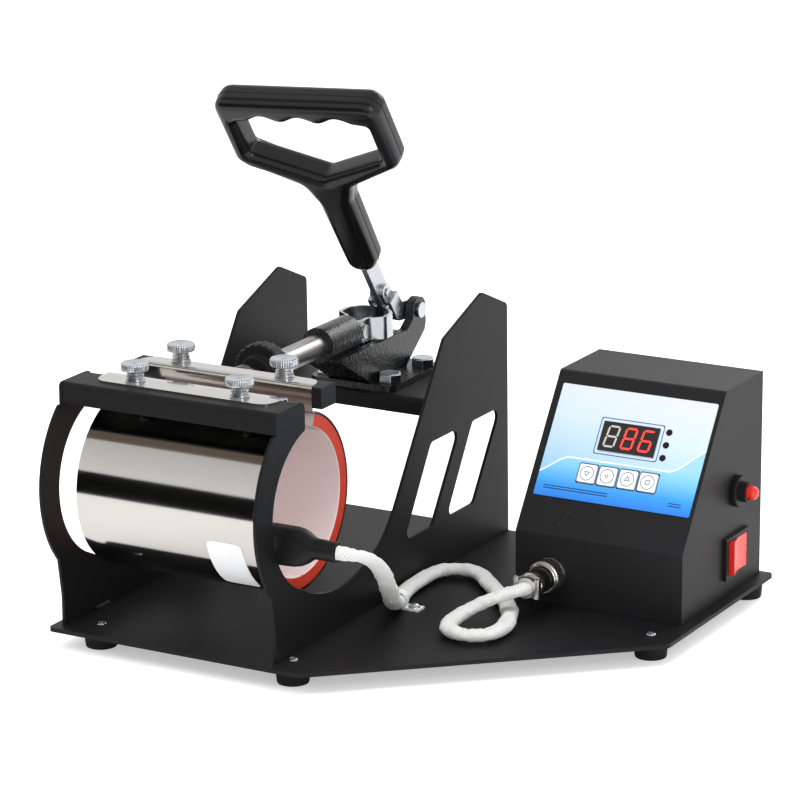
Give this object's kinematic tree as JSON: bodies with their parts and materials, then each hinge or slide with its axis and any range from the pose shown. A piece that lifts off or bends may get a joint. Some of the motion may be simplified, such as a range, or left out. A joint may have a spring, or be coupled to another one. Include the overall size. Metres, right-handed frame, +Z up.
{
  "type": "mug heat press",
  "caption": "Toggle-clamped heating band for mugs on a plate frame, with a digital temperature and time controller on the same base.",
  "frame": {"origin": "middle of the outline seen from above, at the bottom of the rubber feet", "axes": "+X from the heater to the control box, +Y from the front to the clamp, +Z up"},
  "size_m": [0.3266, 0.291, 0.3058],
  "materials": {
    "black_coat": "satin powder coat, fine texture",
    "cast_black": "wrinkled gloss black paint on cast iron",
    "mirror_steel": "mirror polished stainless",
    "bright_zinc": "bright zinc plate",
    "turned_steel": "turned steel",
    "rubber": "matt rubber",
    "silicone": "red silicone, woven inner face",
    "gloss_black": "gloss moulded plastic",
    "matt_black": "matt moulded plastic",
    "white_sleeve": "woven glass fibre sleeve",
    "white_plastic": "white nylon",
    "nickel": "bright nickel plate",
    "panel_film": "printed polyester film, blue gradient",
    "dark_window": "smoked red acrylic",
    "key_film": "white film key",
    "board_green": "printed circuit board",
    "steel_core": "laminated steel core",
    "red_switch": "red translucent plastic"
  },
  "bodies": {
    "frame": {"base_plate": "black_coat", "rubber_feet": "rubber", "foot_screws": "bright_zinc", "weld_beads": "black_coat", "left_side_plate": "black_coat", "right_side_plate": "black_coat", "front_bar": "black_coat", "clamp_shelf": "black_coat", "band_front": "mirror_steel", "mat_front": "silicone", "front_thumbscrews": "bright_zinc", "clamp_casting": "cast_black", "clamp_bolts": "bright_zinc", "clamp_nuts": "bright_zinc", "fixed_pivot_pin": "bright_zinc", "lead_boot": "rubber", "heater_lead": "white_sleeve", "cable_clip": "white_plastic", "clip_screw": "bright_zinc", "plug_clamp": "nickel", "plug_body": "matt_black", "panel_socket": "nickel", "box_cover": "black_coat", "box_floor": "black_coat", "box_rear_panel": "black_coat", "rear_panel_screws": "bright_zinc", "panel_overlay": "panel_film", "display_window": "dark_window", "display_module": "matt_black", "indicator_lamps": "matt_black", "control_board": "board_green", "power_board": "board_green", "transformer": "steel_core", "mains_inlet": "matt_black", "switch_body": "matt_black", "button_body": "matt_black", "button_nut": "matt_black"},
    "press_head": {"plunger": "turned_steel", "plunger_pin": "bright_zinc", "press_bar": "black_coat", "bar_collar": "cast_black", "band_rear": "mirror_steel", "mat_rear": "silicone", "rear_thumbscrews": "bright_zinc"},
    "knob": {"pressure_knob": "matt_black", "pressure_stud": "turned_steel"},
    "links": {"link_left": "bright_zinc", "link_right": "bright_zinc"},
    "lever": {"handle_bar": "bright_zinc", "fork_plates": "bright_zinc", "fork_rivets": "bright_zinc", "handle_grip": "gloss_black"},
    "plug_ring": {"coupling_ring": "nickel"},
    "key_down": {"key_down": "key_film"},
    "key_mode": {"key_mode": "key_film"},
    "key_up": {"key_up_value": "key_film"},
    "key_set": {"key_set": "key_film"},
    "rocker": {"switch_rocker": "red_switch"},
    "reset_button": {"button_cap": "red_switch"}
  },
  "joints": [
    {"name": "lever_swing", "type": "hinge", "parent": "frame", "child": "lever", "pos_m": [-0.086, 0.1325, 0.1475], "axis": [-1, 0, 0], "range_deg": [0, 90]},
    {"name": "press_slide", "type": "slide", "parent": "frame", "child": "press_head", "axis": [0, 1, 0], "range_m": [0, 0.01647]},
    {"name": "link_swing", "type": "hinge", "parent": "press_head", "child": "links", "pos_m": [-0.086, 0.077, 0.146], "axis": [1, 0, 0], "range_deg": [0, 16.56]},
    {"name": "knob_turn", "type": "hinge", "parent": "press_head", "child": "knob", "pos_m": [-0.086, -0.027, 0.146], "axis": [0, 1, 0], "continuous": true},
    {"name": "plug_ring_turn", "type": "hinge", "parent": "frame", "child": "plug_ring", "pos_m": [0.067, 0.028, 0.031], "axis": [0, 1, 0], "continuous": true},
    {"name": "rocker_tilt", "type": "hinge", "parent": "frame", "child": "rocker", "pos_m": [0.1493, 0.1055, 0.0355], "axis": [0, 0, 1], "range_deg": [-14, 0]},
    {"name": "reset_press", "type": "slide", "parent": "frame", "child": "reset_button", "axis": [-1, 0, 0], "range_m": [0, 0.0025], "stiffness_N_per_m": 900},
    {"name": "key_down_press", "type": "slide", "parent": "frame", "child": "key_down", "axis": [0, 0.8264, -0.5631], "range_m": [0, 0.0005], "stiffness_N_per_m": 800},
    {"name": "key_mode_press", "type": "slide", "parent": "frame", "child": "key_mode", "axis": [0, 0.8264, -0.5631], "range_m": [0, 0.0005], "stiffness_N_per_m": 800},
    {"name": "key_up_press", "type": "slide", "parent": "frame", "child": "key_up", "axis": [0, 0.8264, -0.5631], "range_m": [0, 0.0005], "stiffness_N_per_m": 800},
    {"name": "key_set_press", "type": "slide", "parent": "frame", "child": "key_set", "axis": [0, 0.8264, -0.5631], "range_m": [0, 0.0005], "stiffness_N_per_m": 800}
  ],
  "couplings": [
    {"joint": "press_slide", "follows": "lever_swing", "m_per_rad": 0.010486},
    {"joint": "link_swing", "follows": "lever_swing", "ratio": 0.18385}
  ]
}
